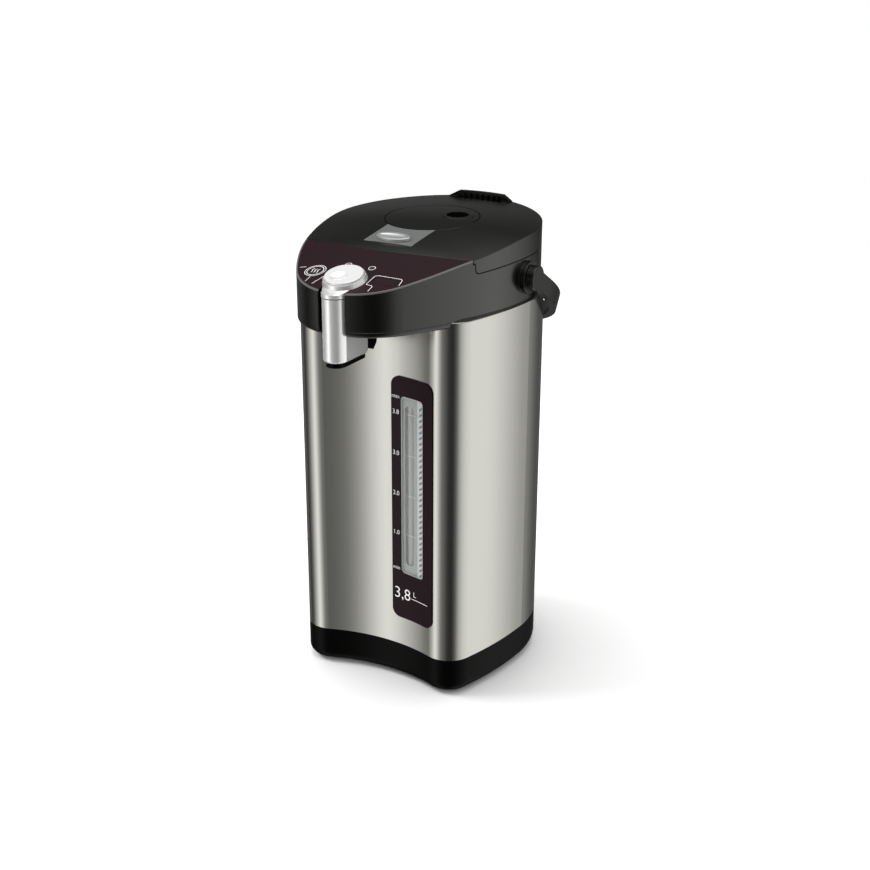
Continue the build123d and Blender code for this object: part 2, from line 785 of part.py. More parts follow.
def spout_neck(grow=0.0):
    """Short upright flange on the spout cover, then a cone that leans back to the knob's rim."""
    low = spout_top + groove_height
    high = low + neck_flange_height
    flange = disc(spout_radius + neck_flange + grow, low, high, 0, spout_y)
    foot = Pos(0, spout_y, high) * Circle(spout_radius + grow)
    crown = panel_spot(0, knob_y) * Pos(0, 0, 0.3) * Circle(bezel_radius - bezel_slant + grow)
    return flange + loft([foot, crown])


# ---------------------------------------------------------------- inner pot and pipes
def make_pot():
    """Steel inner pot with outlet stub, silicone mouth ring and insulating wrap."""
    flange_z = deck_low - flange_drop
    flange_radius = pot_radius + pot_flange
    outer = disc(pot_radius + pot_sheet, pot_floor - pot_sheet, flange_z + 1)
    outer = fillet(outer.edges().group_by(Axis.Z)[0], pot_corner)
    inner = disc(pot_radius, pot_floor, flange_z + 2)
    inner = fillet(inner.edges().group_by(Axis.Z)[0], pot_corner - pot_sheet)
    pot = outer + ring(flange_radius, pot_radius, flange_z, flange_z + 1) - inner
    pot += disc(stub_radius, pot_floor - 9, pot_floor - 0.4, tube_x, motor_y)
    pot -= disc(stub_radius - 1.4, pot_floor - 10, pot_floor + 1, tube_x, motor_y)
    write("inner_pot", pot)
    seat = ring(flange_radius, mouth_radius, flange_z + 1, deck_low)
    seat += ring(mouth_radius + mouth_lip, mouth_radius, deck_low - 1, deck_top + 1)
    write("mouth_ring", seat)
    wrap_inner = pot_radius + wrap_gap
    wrap = ring(wrap_inner + wrap_thickness, wrap_inner, pot_floor + 8, sleeve_top - 4)
    write("insulation_wrap", wrap)
    rear = (back_radius - 8.2) * cos(radians(45))
    front_x, front_y = corner_x + 12.5, corner_y + 17.4
    rods = []
    for x, y in [(-rear, rear), (rear, rear), (-front_x, front_y), (front_x, front_y)]:
        rods.append(disc(2.0, foot_height + base_plate_sheet + base_floor, deck_low, x, y))
    write("tie_rods", *rods)


def make_heater():
    """Heating plate under the pot with its thermostat and thermal fuse."""
    low = pot_floor - pot_sheet
    plate = ring(38.0, 9.0, low - 7, low, 0, 8)
    plate += ring(30.0, 22.0, low - 11, low - 6, 0, 8)
    write("heating_plate", plate)
    thermostat = disc(8.0, low - 8, low - 0.3, 0, 8) + disc(10.5, low - 14, low - 7.1, 0, 8)
    thermostat &= disc(8.8, 0, far, 0, 8) + disc(12, 0, low - 7, 0, 8)
    fuse = block(-5, 5, -28, -24, low - 12, low - 7)
    write("thermostats", thermostat, fuse - ring(30.0, 22.0, low - 11, low - 6, 0, 8))


def make_water_pump():
    """Magnet-driven pump: motor, rotor, volute and impeller."""
    floor = foot_height + base_plate_sheet
    motor_high = floor + 29.5
    shaft = 1.5
    motor = disc(motor_radius, floor, motor_high, tube_x, motor_y)
    motor -= disc(shaft + pin_gap, motor_high - 12, motor_high + 1, tube_x, motor_y)
    write("pump_motor", motor)
    rotor_low = motor_high + 1.0
    rotor = disc(12.0, rotor_low, rotor_low + 3, tube_x, motor_y)
    rotor += disc(shaft, motor_high - 11, rotor_low + 1, tube_x, motor_y)
    write("magnet_rotor", rotor)
    low = rotor_low + 4.0
    high = low + 17.0
    volute = disc(volute_radius, low, high, tube_x, motor_y)
    skirt_radius = motor_radius + 2.4
    volute += disc(skirt_radius, motor_high - 4, low + 1, tube_x, motor_y)
    volute -= disc(motor_radius, 0, motor_high, tube_x, motor_y)
    volute -= disc(12.6, motor_high - 1, low - 0.6, tube_x, motor_y)
    volute -= disc(impeller_radius + 1.5, low + 1.5, high - 2.5, tube_x, motor_y)
    volute += disc(shaft, low + 1, high - 2.4, tube_x, motor_y)
    volute += disc(5.0, high - 1, high + 5, tube_x, motor_y)
    out_z = low + 8.0
    volute += rod_y(tube_radius, motor_y - volute_radius - 7, motor_y - volute_radius + 2, tube_x, out_z)
    volute -= disc(3.4, high - 3, high + 6, tube_x, motor_y)
    volute -= rod_y(3.0, motor_y - volute_radius - 8, motor_y - impeller_radius, tube_x, out_z)
    volute += disc(shaft, low + 1, high - 2.6, tube_x, motor_y)
    write("pump_volute", volute)
    wheel = disc(impeller_radius, low + 2.2, low + 4.2, tube_x, motor_y)
    wheel += disc(4.0, low + 2.2, high - 5.0, tube_x, motor_y)
    for turn in range(6):
        vane = Pos(tube_x, motor_y, low + 7) * Rot(0, 0, 60 * turn) * Pos(8.6, 0, 0) * Box(10.4, 1.4, 6.4)
        wheel += vane
    write("impeller", wheel - disc(shaft + pin_gap, 0, far, tube_x, motor_y))
    inlet = ring(stub_radius + 2.6, stub_radius + pin_gap, high + 0.6, pot_floor - 3, tube_x, motor_y)
    write("inlet_hose", inlet)
    start = (tube_x, motor_y - volute_radius - 1, out_z)
    bend = (tube_x, tube_y, out_z)
    end = (tube_x, tube_y, tube_low + 9)
    write("lower_hose", hose([start, bend, end], [12.0], hose_outer, tube_radius + 0.02))
    write("level_tube", ring(tube_radius, tube_radius - 1.0, tube_low, tube_high, tube_x, tube_y))
    top_z = sleeve_top + 6.9
    route = [
        (tube_x, tube_y, tube_high - 10),
        (tube_x, tube_y, top_z),
        (0, -110.0, pipe_z),
        (0, pipe_end_y - 5, pipe_z),
    ]
    write("upper_hose", hose(route, [12.0, 9.0], hose_outer, tube_radius + 0.02))


def make_power_board():
    """Mains board on its posts, with its larger components."""
    left, right = power_board_left, power_board_left + power_board_width
    rear = back_radius - power_board_inset
    front = rear - power_board_depth
    top = power_board_low + board_sheet
    write("power_board", block(left, right, front, rear, power_board_low, top))
    write(
        "board_components",
        block(left + 8, left + 36, front + 9, rear - 9, top, top + 24),
        block(left + 44, left + 60, rear - 19, rear - 7, top, top + 15),
        disc(6.0, top, top + 18, right - 20, rear - 13),
        block(left + 44, right - 12, front + 5, front + 17, top, top + 5),
    )


# ---------------------------------------------------------------- lid
def make_lid():
    """Outer lid: crowned plate, side skirts, front wall and hinge knuckles."""
    plan = prism(head_outline(), 0, head_top)
    ahead = ahead_of(lid_front_y)
    lid = (top_solid() - top_solid(lid_thickness)) & plan
    skirt = (plan - prism(head_outline(head_wall), -1, head_top + 1)) & side_panel()
    lid += skirt & top_solid(0.5)
    lid -= ahead
    inner = prism(head_outline(head_wall), sleeve_top + 40, head_top)
    lid += ((top_solid(0.5) & inner) & ahead_of(lid_front_y + 2.4)) - ahead
    lid -= disc(pump_radius + 0.4, deck_low, head_top, 0, pump_y)
    plate = block(-plate_half, plate_half, plate_front_y, plate_rear_y, 0, head_top)
    lid -= plate - top_solid(0.8) - disc(pump_well, 0, head_top, 0, pump_y)
    lid -= latch_block(-7.2, 7.2, -7.5, 8.8, -8, 8)
    pan_top = top_height(0, hinge_y) - release_pan_drop
    pan_floor = pan_top - 2.2
    front = head_radius - release_depth
    wall = 1.6
    lid -= block(-release_room, release_room, front, far, pan_top, head_top)
    pan = block(-release_room - wall, release_room + wall, front - wall, far, pan_floor, head_top)
    pan -= block(-release_room, release_room, front, far, pan_top, head_top)
    lid += (pan & plan) & top_solid()
    for side in (-1, 1):
        x0, x1 = sorted((side * 5.3, side * (knuckle_inner - 0.3)))
        lid += rod_x(knuckle_radius, x0, x1, hinge_y, hinge_z)
        lid += block(x0, x1, hinge_y - knuckle_radius, hinge_y + knuckle_radius, hinge_z, pan_floor + 1)
        x0, x1 = sorted((side * (knuckle_inner - 0.3), side * (knuckle_outer + 0.4)))
        lid -= rod_x(knuckle_radius + 0.5, x0, x1, hinge_y, hinge_z)
    lid -= rod_x(hinge_pin_radius + pin_gap, -far, far, hinge_y, hinge_z)
    lid += latch_block(-5, 5, 15.5, 17.5, -7.0, -2.0)
    write("lid_shell", lid)
    write("hinge_pin", rod_x(hinge_pin_radius, -knuckle_outer, knuckle_outer, hinge_y, hinge_z))


def latch_block(x0, x1, y0, y1, z0, z1):
    """A box in the latch's own frame, which lies along the lid's slope."""
    tilt = atan(latch_slope)
    origin = (0, latch_y, top_height(0, latch_y))
    frame = Plane(origin=origin, x_dir=(1, 0, 0), z_dir=(0, -sin(tilt), cos(tilt)))
    middle = ((x0 + x1) / 2, (y0 + y1) / 2, (z0 + z1) / 2)
    return frame * Pos(*middle) * Box(x1 - x0, y1 - y0, z1 - z0)


def make_latch():
    """Grey latch plate, sliding finger tab with its hook, and the return spring."""
    plate = block(-plate_half, plate_half, plate_front_y, plate_rear_y, 0, head_top)
    plate -= disc(pump_well + 0.2, 0, head_top, 0, pump_y)
    plate &= top_solid(-latch_plate_proud) - top_solid(0.8)
    write("latch_plate", plate - latch_block(-6.8, 6.8, -7.0, 8.4, -8, 8))
    tilt = atan(latch_slope)
    origin = (0, latch_y, top_height(0, latch_y))
    frame = Plane(origin=origin, x_dir=(1, 0, 0), z_dir=(0, -sin(tilt), cos(tilt)))
    oval = Ellipse(latch_half_length, latch_half_width)
    tab = frame * Pos(0, 0, latch_low) * extrude(oval, latch_height)
    tab = fillet(tab.edges().sort_by(Axis.Z)[-1:], 0.8)
    hollow = (latch_half_length - latch_rim, latch_half_width - latch_rim, latch_dish)
    tab -= frame * Pos(0, 0, latch_low + latch_height) * scale(Sphere(1), by=hollow)
    half, low, high = latch_arm_half, -6.6, -3.6
    tab += latch_block(-6.4, 6.4, -6.5, 3.6, -6.4, latch_low + 0.3)
    tab += latch_block(-11, 11, -8, 8.5, low, high)
    tab += latch_block(-4, 4, 0, 8.5, low - 0.7, high + 0.6)
    tab += latch_block(-half, half, latch_arm_front, -7, low, high)
    tab += latch_block(-half, half, latch_arm_front, latch_arm_rear, latch_foot, high)
    tab += latch_block(-half, half, latch_nose_front, latch_arm_rear, latch_foot, latch_foot + 3.5)
    start, end = latch_spring_start, latch_spring_end
    axis = frame * Pos(0, (start + end) / 2, -5.15) * Rot(-90, 0, 0)
    tab -= axis * Pos(0, 0, -(end - start) / 2 - 2.0) * Cylinder(1.7, 6.0)
    write("latch_slider", tab)
    write("latch_spring", axis * (Cylinder(1.4, end - start) - Cylinder(0.9, end)))


def make_liner():
    """Inner tub of the lid with the pump's well, steel inner lid, seal and valve."""
    high = head_top
    plan = prism(head_outline(liner_inset), liner_low, high) & block(-far, far, liner_front_y, far, 0, high)
    room = prism(head_outline(liner_inset + liner_wall), liner_low + 2.5, high) & block(
        -far, far, liner_front_y + liner_wall, far, 0, high
    )
    liner = plan - room
    liner += ring(pump_well + 1.8, pump_well, liner_low + 1, high, 0, pump_y)
    liner &= top_solid(lid_thickness + 0.1)
    liner -= block(-36, 36, hinge_y - 12.0, far, hinge_z - 7.0, high)
    liner -= block(-13, 13, liner_front_y - 1, -44.8, hinge_z - 10, high)
    liner -= disc(9.3, 0, high, 0, pump_y)
    write("lid_liner", liner)
    write("lid_seal", ring(pot_radius, seal_inner, deck_top + 1.3, liner_low))
    dish_radius = seal_inner - 0.4
    dish = disc(dish_radius, deck_top + 2.5, liner_low)
    dish -= disc(dish_radius - pot_sheet, deck_top + 2.5 + pot_sheet, liner_low + 1)
    write("inner_lid", dish - disc(9.3, 0, far * 2, 0, pump_y))
    valve = disc(9.0, deck_top - 3, liner_low + 2.6, 0, pump_y) + disc(11.0, deck_top - 3, deck_top + 2.4, 0, pump_y)
    valve -= disc(4.0, 0, deck_top, 0, pump_y)
    write("air_valve", valve)


def make_hand_pump():
    """Round pump plate with its steam vent, and the bellows and spring under it."""
    bellows_top = top_height(0, pump_y) - 12.3
    plate = (top_solid() - top_solid(lid_thickness)) & disc(pump_radius, 0, head_top, 0, pump_y)
    plate += ring(pump_radius - 0.6, pump_radius - 2.6, bellows_top - 4, head_top, 0, pump_y) & top_solid(1)
    plate += disc(11.0, bellows_top + slide_gap, head_top, -6, pump_y - 8) & top_solid(1)
    cup_low = top_height(vent_x, vent_y) - vent_depth
    plate += disc(vent_radius + 1.4, cup_low, head_top, vent_x, vent_y) & top_solid(1)
    plate -= disc(vent_radius, cup_low + 1.4, head_top, vent_x, vent_y)
    for turn in range(6):
        hole = Rot(0, 0, 60 * turn) * Pos(vent_radius / 2, 0, cup_low) * Cylinder(1.3, 6)
        plate -= Pos(vent_x, vent_y, 0) * hole
    write("pump_plate", plate)
    rim = ring(vent_radius + vent_rim_width, vent_radius - 0.6, 0, head_top, vent_x, vent_y)
    write("vent_rim", rim & (top_solid(-0.5) - top_solid(0)) & disc(pump_radius - 1, 0, head_top, 0, pump_y))
    low = liner_low + 2.5
    folds = 5
    pitch = (bellows_top - low) / folds
    bellows = ring(bellows_radius - 4, bellows_radius - 5.2, low, bellows_top, 0, pump_y)
    for fold in range(folds):
        z = low + pitch * (fold + 0.5)
        bellows += ring(bellows_radius, bellows_radius - 4.5, z - 0.9, z + 0.9, 0, pump_y)
    bellows += disc(bellows_radius - 4, bellows_top - 1.4, bellows_top, 0, pump_y)
    write("pump_bellows", bellows)
    write("pump_spring", coil(13.0, 0.8, low, bellows_top - 1.5, 5, 0, pump_y))


def make_release():
    """Raised grip at the back of the lid that frees it from the hinge."""
    pan_top = top_height(0, hinge_y) - release_pan_drop
    low = pan_top + 0.2
    high = sleeve_top + release_rise
    half, top_half, inner_half = release_half, release_top_half, release_room - 0.8
    face = Face(Wire(Polyline(
        (-half, low), (half, low), (half, low + 3), (top_half, high), (-top_half, high), (-half, low + 3), close=True
    ).edges()))
    upright = extrude(Plane(origin=(0, 60, 0), x_dir=(1, 0, 0), z_dir=(0, -1, 0)) * face, -60)
    outer = head_radius - slide_gap
    lip = upright & ring(outer, outer - release_sheet, 0, head_top)
    in_pan = block(-inner_half, inner_half, 0, far, 0, head_top)
    lip = (lip & in_pan) + (lip - in_pan - top_solid(-slide_gap))
    tongue = block(-top_half, top_half, head_radius - 12.1, hinge_y + 3, low, low + 1.4)
    grip = lip + (tongue & disc(outer - 1.7, 0, head_top))
    for step in range(7):
        x = (step - 3) * 5.6
        rear = sqrt((outer - release_sheet + 1) ** 2 - x**2)
        grip += block(x - 0.8, x + 0.8, rear - 3.4, rear, low, high - 2.0)
    write("release_grip", grip)


# ---------------------------------------------------------------- carrying handle
def make_handle():
    """Bail handle that hangs behind the pot, with its ears and pivot pins."""
    ear = rod_x(ear_radius, 80, ear_reach, handle_y, handle_z) - prism(head_outline(), 0, head_top)
    hole = rod_x(handle_pin_radius, 80, far, handle_y, handle_z)
    write("handle_ears", *both_sides(ear - hole))
    pin_end = handle_half - 2.0
    pin = rod_x(handle_pin_radius, head_radius - 0.1, pin_end, handle_y, handle_z)
    write("handle_pins", *both_sides(pin))

    tilt = radians(handle_droop)
    frame = Plane(
        origin=(0, handle_y, handle_z), x_dir=(1, 0, 0), z_dir=(0, sin(tilt), cos(tilt))
    )
    outer = handle_bow(handle_half)
    inner = handle_bow(handle_half - handle_sheet)
    bail = frame * Pos(0, 0, -handle_width / 2) * extrude(outer - inner, handle_width)
    eye = rod_x(eye_radius, handle_half - handle_sheet, handle_half, handle_y, handle_z)
    for part in both_sides(eye):
        bail += part
    bore = rod_x(handle_pin_radius + pin_gap, handle_half - handle_sheet - 1, pin_end + 0.4, handle_y, handle_z)
    for part in both_sides(bore):
        bail -= part
    write("handle_bail", bail)


def handle_bow(radius):
    """Half-round bow with straight arms, in the handle's own plane."""
    bow = Circle(radius) & Pos(0, far) * Rectangle(2 * far, 2 * far)
    return Pos(0, handle_arm) * bow + Pos(0, handle_arm / 2) * Rectangle(2 * radius, handle_arm)


make_base()
make_inlet()
make_sleeve()
make_window()
make_collar()
make_nose_cover()
make_cup_lever()
make_panel()
make_board()
make_keys()
make_spout()
make_pot()
make_heater()
make_water_pump()
make_power_board()
make_lid()
make_latch()
make_liner()
make_hand_pump()
make_release()
make_handle()
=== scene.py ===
import math

import bpy
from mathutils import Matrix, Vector
from mathutils.bvhtree import BVHTree


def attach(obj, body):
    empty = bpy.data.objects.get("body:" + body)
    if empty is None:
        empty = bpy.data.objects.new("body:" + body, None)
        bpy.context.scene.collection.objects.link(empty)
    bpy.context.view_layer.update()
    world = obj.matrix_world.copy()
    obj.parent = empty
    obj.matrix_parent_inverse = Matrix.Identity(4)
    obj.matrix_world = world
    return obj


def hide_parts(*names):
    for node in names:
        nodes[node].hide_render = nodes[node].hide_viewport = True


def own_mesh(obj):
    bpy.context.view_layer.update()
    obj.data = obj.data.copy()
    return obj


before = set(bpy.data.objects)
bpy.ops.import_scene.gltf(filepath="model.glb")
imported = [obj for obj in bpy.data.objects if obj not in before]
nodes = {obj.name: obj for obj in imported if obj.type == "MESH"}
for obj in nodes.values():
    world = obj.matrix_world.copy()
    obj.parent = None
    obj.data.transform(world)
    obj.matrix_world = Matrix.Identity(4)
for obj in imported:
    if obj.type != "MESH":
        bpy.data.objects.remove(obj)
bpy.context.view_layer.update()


# ---------------------------------------------------------------- base shell and bottom plate
# The foot of the pot is a deep black shell that the steel sleeve stands in. A screwed plate closes
# it from below. Both are moulded polypropylene, smooth and a little duller than the head.
def finish_of(name, color, rough, metal=0.0):
    """A new node material, with its node tree and its Principled shader."""
    made = bpy.data.materials.new(name)
    made.use_nodes = True
    tree = made.node_tree
    shader = tree.nodes["Principled BSDF"]
    shader.inputs["Base Color"].default_value = (*color, 1.0)
    shader.inputs["Roughness"].default_value = rough
    shader.inputs["Metallic"].default_value = metal
    return made, tree, shader


def add(tree, kind, values=None, **settings):
    """A node with its settings and its unlinked input values."""
    node = tree.nodes.new(kind)
    for key, value in settings.items():
        setattr(node, key, value)
    for key, value in (values or {}).items():
        node.inputs[key].default_value = value
    return node


def grain(tree, shader, scale, low, high, depth=0.00001, stretch=(1.0, 1.0, 1.0), strength=0.12):
    """Fine moulding or brushing marks: they vary the roughness and stand up a little."""
    place = add(tree, "ShaderNodeTexCoord")
    spread = add(tree, "ShaderNodeMapping", {"Scale": stretch})
    noise = add(tree, "ShaderNodeTexNoise", {"Scale": scale, "Detail": 4.0, "Roughness": 0.6})
    limits = add(tree, "ShaderNodeMapRange", {"To Min": low, "To Max": high})
    bump = add(tree, "ShaderNodeBump", {"Strength": strength, "Distance": depth})
    tree.links.new(place.outputs["Object"], spread.inputs["Vector"])
    tree.links.new(spread.outputs["Vector"], noise.inputs["Vector"])
    tree.links.new(noise.outputs["Fac"], limits.inputs["Value"])
    tree.links.new(limits.outputs["Result"], shader.inputs["Roughness"])
    tree.links.new(noise.outputs["Fac"], bump.inputs["Height"])
    tree.links.new(bump.outputs["Normal"], shader.inputs["Normal"])


def soften(tree, shader, radius):
    """Lets light catch the small radius that every moulded edge has."""
    edge = add(tree, "ShaderNodeBevel", {"Radius": radius}, samples=6)
    into = shader.inputs["Normal"]
    if into.links:
        into = into.links[0].from_node.inputs["Normal"]
    tree.links.new(edge.outputs["Normal"], into)


def paint(made, *names):
    """Gives CAD nodes this material, in the slots that they have."""
    for name in names:
        for slot in nodes[name].material_slots:
            slot.material = made


base, tree, shader = finish_of("black_base", (0.0012, 0.0012, 0.001), 0.3)
grain(tree, shader, scale=700.0, low=0.24, high=0.34, depth=0.00002)
shader.inputs["Specular IOR Level"].default_value = 0.06
soften(tree, shader, 0.0005)
paint(base, "base_shell", "base_plate")

# ---------------------------------------------------------------- feet, screws and tie rods
# Four rubber feet are glued under the bottom plate, and steel screws hold it to the shell. Long steel
# rods draw base and head together over the sleeve. The steel is drawn and left satin.
rubber = finish_of("foot_rubber", (0.02, 0.02, 0.02), 0.8)[0]
paint(rubber, "rubber_feet")

satin, tree, shader = finish_of("satin_steel", (0.62, 0.62, 0.61), 0.3, 1.0)
grain(tree, shader, scale=60.0, low=0.24, high=0.36, stretch=(1.0, 1.0, 30.0))
paint(satin, "base_screws", "tie_rods")

# ---------------------------------------------------------------- mains inlet
# The socket at the back of the base takes the loose mains lead. It is moulded in the same black
# plastic as the base, and its three flat pins are punched from brass.
brass = finish_of("inlet_brass", (0.7, 0.52, 0.2), 0.3, 1.0)[0]
paint(base, "power_inlet")
paint(brass, "inlet_pins")

# ---------------------------------------------------------------- inner pot and its heater
# A deep-drawn stainless pot hangs under the head by its flange, on a silicone mouth ring. A cast
# aluminium heating plate with its thermostats sits under the floor, and a fibre mat round the wall.
fibre = finish_of("fibre_mat", (0.7, 0.68, 0.62), 0.95)[0]
cast = finish_of("cast_aluminium", (0.55, 0.55, 0.55), 0.45, 1.0)[0]
moulded = finish_of("component_grey", (0.05, 0.05, 0.055), 0.5)[0]
silicone, tree, shader = finish_of("silicone", (0.62, 0.62, 0.6), 0.5)
shader.inputs["Subsurface Weight"].default_value = 0.1
paint(satin, "inner_pot")
paint(fibre, "insulation_wrap")
paint(cast, "heating_plate")
paint(moulded, "thermostats")
paint(silicone, "mouth_ring")

# ---------------------------------------------------------------- water pump and hoses
# A motor in a drawn steel can turns a magnet under the pump. The magnet drags the white plastic
# wheel round in its sealed housing. Silicone hoses are pushed over the spigots.
motor_can = finish_of("motor_can", (0.4, 0.4, 0.4), 0.35, 1.0)[0]
white = finish_of("white_moulding", (0.7, 0.7, 0.68), 0.45)[0]
paint(motor_can, "pump_motor")
paint(moulded, "magnet_rotor")
paint(white, "pump_volute", "impeller")
paint(silicone, "inlet_hose", "lower_hose", "upper_hose")

# ---------------------------------------------------------------- boards and switches
# Two green glass-fibre boards: power with its parts in the base, control with its switches on posts
# under the panel. The parts are dark grey mouldings, soldered on. One more switch faces the lever.
laminate = finish_of("board_green", (0.02, 0.16, 0.06), 0.45)[0]
paint(laminate, "power_board", "control_board")
paint(moulded, "board_components", "push_switches", "cup_switch")

# ---------------------------------------------------------------- steel sleeve
# The body is one sheet of brushed stainless steel, bent round and stood on the base, with its top
# edge turned in. The hairlines run round the body, so that reflections smear up and down.
steel, tree, shader = finish_of("brushed_sleeve", (0.66, 0.655, 0.605), 0.2, 1.0)
grain(tree, shader, scale=40.0, low=0.2, high=0.26, stretch=(0.6, 0.6, 60.0))
shader.inputs["Anisotropic"].default_value = 0.75
shader.inputs["Anisotropic Rotation"].default_value = 0.25
hairlines = add(tree, "ShaderNodeTangent", direction_type="RADIAL", axis="Z")
tree.links.new(hairlines.outputs["Tangent"], shader.inputs["Tangent"])
paint(steel, "body_sleeve")

# ---------------------------------------------------------------- water window's frame
# A dark plum moulding with rounded corners, pushed into the opening in the front of the sleeve. The
# litre numbers, the limit marks and the capacity below them are screen-printed in white.
film, tree, shader = finish_of("plum_film", (0.012, 0.0045, 0.0065), 0.42)
grain(tree, shader, scale=1500.0, low=0.38, high=0.46)
shader.inputs["Specular IOR Level"].default_value = 0.12
paint(film, "window_frame")

ink = finish_of("white_ink", (0.72, 0.7, 0.7), 0.5)[0]
MM = 0.001
AXIS_Y = 0.027024  # the body's own axis lies behind the middle of the outline
INK_HEIGHT = 0.06 * MM
LETTER_THINNING = -0.008  # of a letter's height, for strokes as fine as printed ones


def ribbon(points, width, closed=False):
    """Quads of a printed line, in mm, that follows points in its own plane."""
    points = [Vector(point) for point in points]
    count = len(points)
    last = count if closed else count - 1
    rails = []
    for i, point in enumerate(points):
        before = points[i - 1] if closed or i > 0 else point
        after = points[(i + 1) % count] if closed or i < count - 1 else point
        run = (after - before).normalized()
        across = Vector((-run.y, run.x)) * (width / 2)
        rails += [point + across, point - across]
    quads = []
    for i in range(last):
        here = 2 * i
        ahead = (here + 2) % (2 * count)
        quads.append((here, here + 1, ahead + 1, ahead))
    return rails, quads


def lettering(text, size, x, y):
    """Faces of a number or word, in mm, with its middle at x, y."""
    curve = bpy.data.curves.new("number", "FONT")
    curve.body = text
    curve.size = size
    curve.offset = LETTER_THINNING * size
    curve.align_x = "CENTER"
    curve.align_y = "CENTER"
    held = bpy.data.objects.new("number", curve)
    bpy.context.collection.objects.link(held)
    flat = bpy.data.meshes.new_from_object(held)
    points = [Vector((vertex.co.x + x, vertex.co.y + y)) for vertex in flat.vertices]
    faces = [tuple(face.vertices) for face in flat.polygons]
    bpy.data.objects.remove(held)
    bpy.data.curves.remove(curve)
    bpy.data.meshes.remove(flat)
    return points, faces


def skin_of(node):
    """The surface of a CAD node, to find where ink lands on it."""
    mesh = nodes[node].data
    return BVHTree.FromPolygons([v.co for v in mesh.vertices], [p.vertices for p in mesh.polygons])


def printed(name, flats, node, upright, made, body="housing"):
    """Closed thin films of ink on a CAD node, laid on from the front if upright, or from above."""
    skin = skin_of(node)
    look = Vector((0, 1, 0)) if upright else Vector((0, 0, -1))
    top = []
    low = []
    faces = []
    for points, polygons in flats:
        first = len(top)
        for point in points:
            u = point[0] * MM
            v = point[1] * MM
            eye = Vector((u, -1, v)) if upright else Vector((u, v + AXIS_Y, 1))
            hit = skin.ray_cast(eye, look)[0]
            top.append(hit - look * INK_HEIGHT)
            low.append(hit + look * INK_HEIGHT)
        faces += [tuple(first + i for i in polygon) for polygon in polygons]
    count = len(top)
    edges = {}
    for face in faces:
        for a, b in zip(face, face[1:] + face[:1]):
            edges[(a, b)] = True
    solid = list(faces)
    solid += [tuple(count + i for i in reversed(face)) for face in faces]
    solid += [(b, a, count + a, count + b) for a, b in edges if (b, a) not in edges]
    shape = bpy.data.meshes.new(name)
    shape.from_pydata(top + low, [], solid)
    shape.materials.append(made)
    shape.validate()
    piece = bpy.data.objects.new(name, shape)
    bpy.context.collection.objects.link(piece)
    bpy.context.view_layer.objects.active = piece
    piece.select_set(True)
    bpy.ops.object.mode_set(mode="EDIT")
    bpy.ops.mesh.select_all(action="SELECT")
    bpy.ops.mesh.normals_make_consistent(inside=False)
    bpy.ops.object.mode_set(mode="OBJECT")
    piece.select_set(False)
    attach(piece, body)


NUMBERS_X = 15.3
flats = []
for text, size, x, z in (
    ("3.8", 5.6, NUMBERS_X, 249.8),
    ("3.0", 5.6, NUMBERS_X, 213.5),
    ("2.0", 5.6, NUMBERS_X, 177.2),
    ("1.0", 5.6, NUMBERS_X, 141.1),
    ("max", 5.0, NUMBERS_X, 263.5),
    ("min", 5.0, NUMBERS_X, 108.0),
    ("3,8", 15.0, 21.5, 84.0),
    ("L", 7.0, 35.0, 87.0),
):
    flats.append(lettering(text, size, x, z))
flats.append(ribbon([(31.5, 82.4), (38.0, 82.4), (44.5, 82.4), (50.2, 82.4)], 0.5))
printed("window_numbers", flats, "window_frame", True, ink)

# ---------------------------------------------------------------- level tube and gauge strip
# The water stands in a milky plastic tube behind the window. The grey card round the tube has a light
# band down its right edge, printed with slanting blue-grey dashes. The lens holds the card in place.
milky, tree, shader = finish_of("milky_tube", (0.42, 0.44, 0.425), 0.25)
shader.inputs["Alpha"].default_value = 0.9
paint(milky, "level_tube")

CARD_GREY = (0.33, 0.35, 0.34)
BAND_LIGHT = (0.58, 0.62, 0.63)
BAND_FROM_X = 0.0372
card, tree, shader = finish_of("gauge_card", CARD_GREY, 0.5)
place = add(tree, "ShaderNodeTexCoord")
split = add(tree, "ShaderNodeSeparateXYZ")
band = add(tree, "ShaderNodeMath", {1: BAND_FROM_X}, operation="GREATER_THAN")
tones = {"A": (*CARD_GREY, 1.0), "B": (*BAND_LIGHT, 1.0)}
whole = add(tree, "ShaderNodeMix", tones, data_type="RGBA")
tree.links.new(place.outputs["Object"], split.inputs["Vector"])
tree.links.new(split.outputs["X"], band.inputs[0])
tree.links.new(band.outputs["Value"], whole.inputs["Factor"])
tree.links.new(whole.outputs["Result"], shader.inputs["Base Color"])
paint(card, "gauge_strip")


